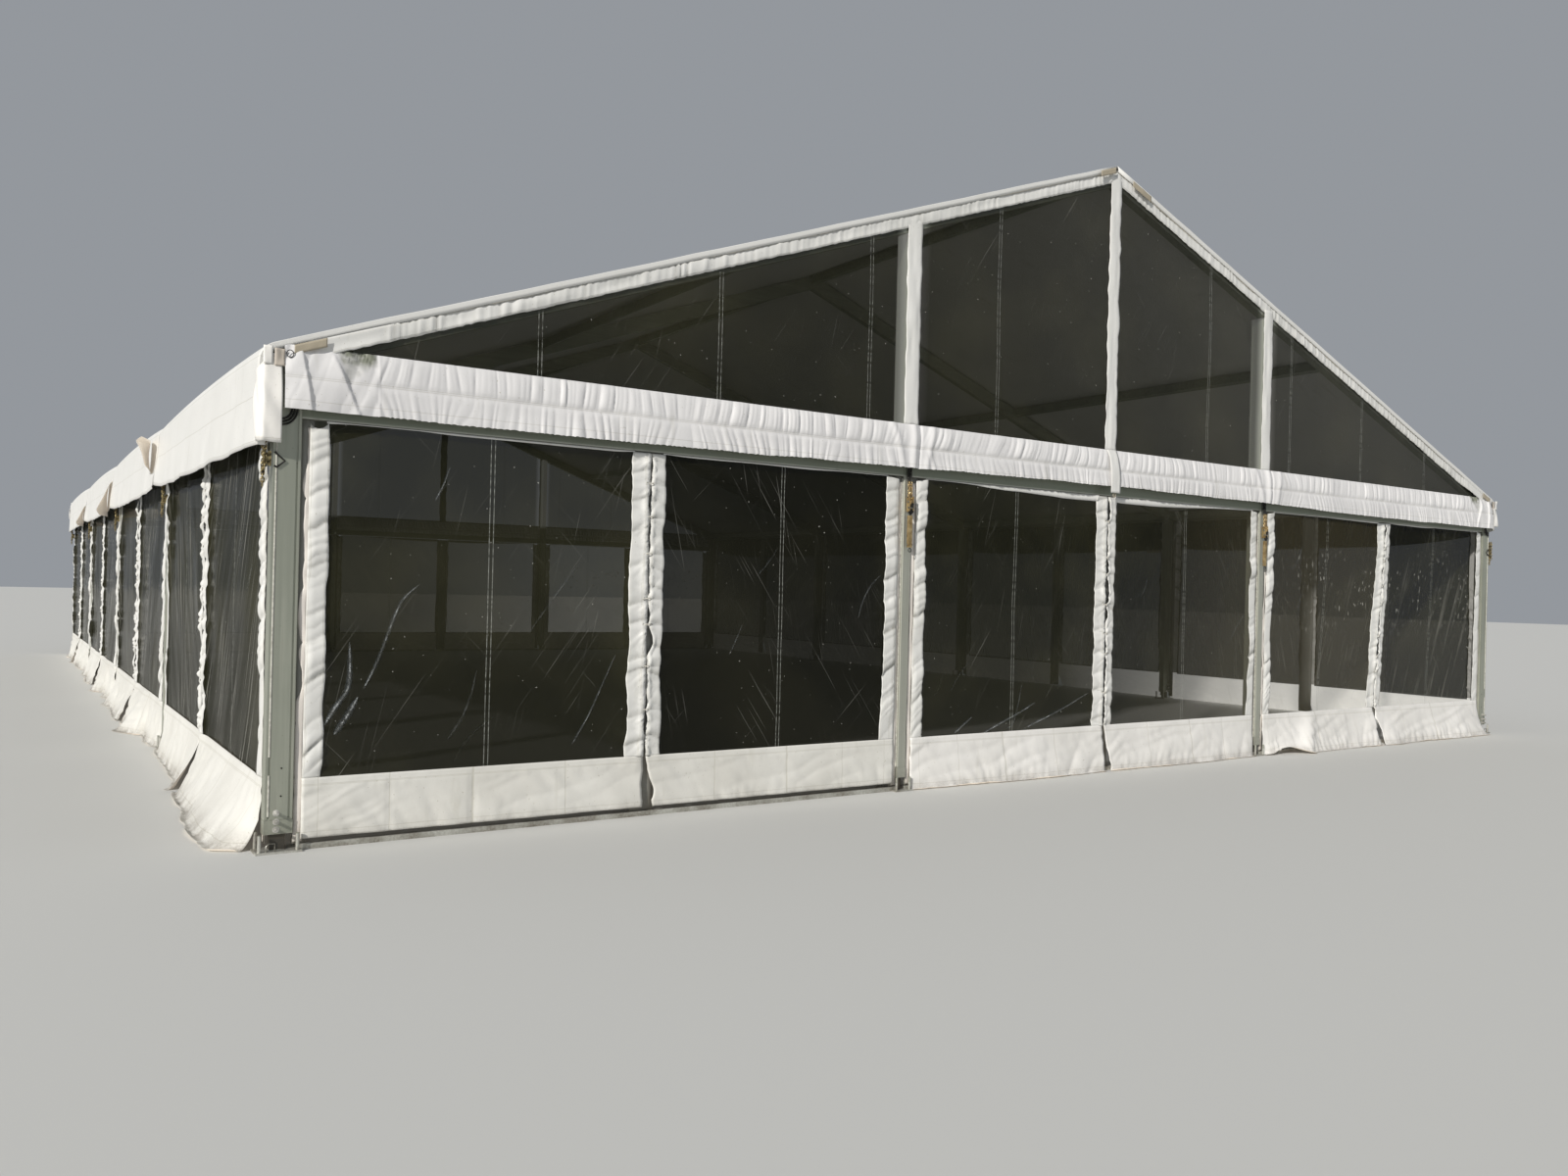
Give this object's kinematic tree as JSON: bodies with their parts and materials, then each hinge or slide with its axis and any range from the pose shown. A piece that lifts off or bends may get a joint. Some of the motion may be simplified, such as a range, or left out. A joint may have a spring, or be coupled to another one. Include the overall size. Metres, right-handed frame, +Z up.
{
  "type": "marquee tent",
  "caption": "Clear-span marquee tent: aluminium frame, white PVC roof covers, clear glazed gables, and clear-windowed PVC curtains laced between the legs.",
  "frame": {"origin": "on the ground under the middle of the tent", "axes": "+X across the gables, towards the right side; +Y back along the tent, away from the front gable; +Z up"},
  "size_m": [15.416, 20.188, 5.8228],
  "materials": {
    "aluminium": "grey-green anodised extrusion, satin, lightly scratched",
    "white_pvc": "white PVC-coated fabric, semi-matt, creased and slightly soiled at the hems",
    "clear_pvc": "clear flexible PVC film, glossy, rippled and finely scratched"
  },
  "bodies": {
    "root": {"leg_left_1": "aluminium", "leg_left_2": "aluminium", "leg_left_3": "aluminium", "leg_left_4": "aluminium", "leg_left_5": "aluminium", "leg_right_1": "aluminium", "leg_right_2": "aluminium", "leg_right_3": "aluminium", "leg_right_4": "aluminium", "leg_right_5": "aluminium", "roof_frame_1": "aluminium", "roof_frame_2": "aluminium", "roof_frame_3": "aluminium", "roof_frame_4": "aluminium", "roof_frame_5": "aluminium", "gable_frame_front": "aluminium", "gable_frame_back": "aluminium", "roof_cover_1": "white_pvc", "roof_cover_2": "white_pvc", "roof_cover_3": "white_pvc", "roof_cover_4": "white_pvc", "gable_valance_front": "white_pvc", "gable_valance_back": "white_pvc", "gable_trim_front": "white_pvc", "gable_trim_back": "white_pvc", "gable_window_front": "clear_pvc", "gable_window_back": "clear_pvc", "curtain_front_1": "white_pvc", "curtain_front_2": "white_pvc", "curtain_front_3": "white_pvc", "curtain_back_1": "white_pvc", "curtain_back_2": "white_pvc", "curtain_back_3": "white_pvc", "curtain_left_1": "white_pvc", "curtain_left_2": "white_pvc", "curtain_left_3": "white_pvc", "curtain_left_4": "white_pvc", "curtain_right_1": "white_pvc", "curtain_right_2": "white_pvc", "curtain_right_3": "white_pvc", "curtain_right_4": "white_pvc", "window_front_1": "clear_pvc", "window_front_2": "clear_pvc", "window_front_3": "clear_pvc", "window_back_1": "clear_pvc", "window_back_2": "clear_pvc", "window_back_3": "clear_pvc", "window_left_1": "clear_pvc", "window_left_2": "clear_pvc", "window_left_3": "clear_pvc", "window_left_4": "clear_pvc", "window_right_1": "clear_pvc", "window_right_2": "clear_pvc", "window_right_3": "clear_pvc", "window_right_4": "clear_pvc"}
  },
  "joints": []
}
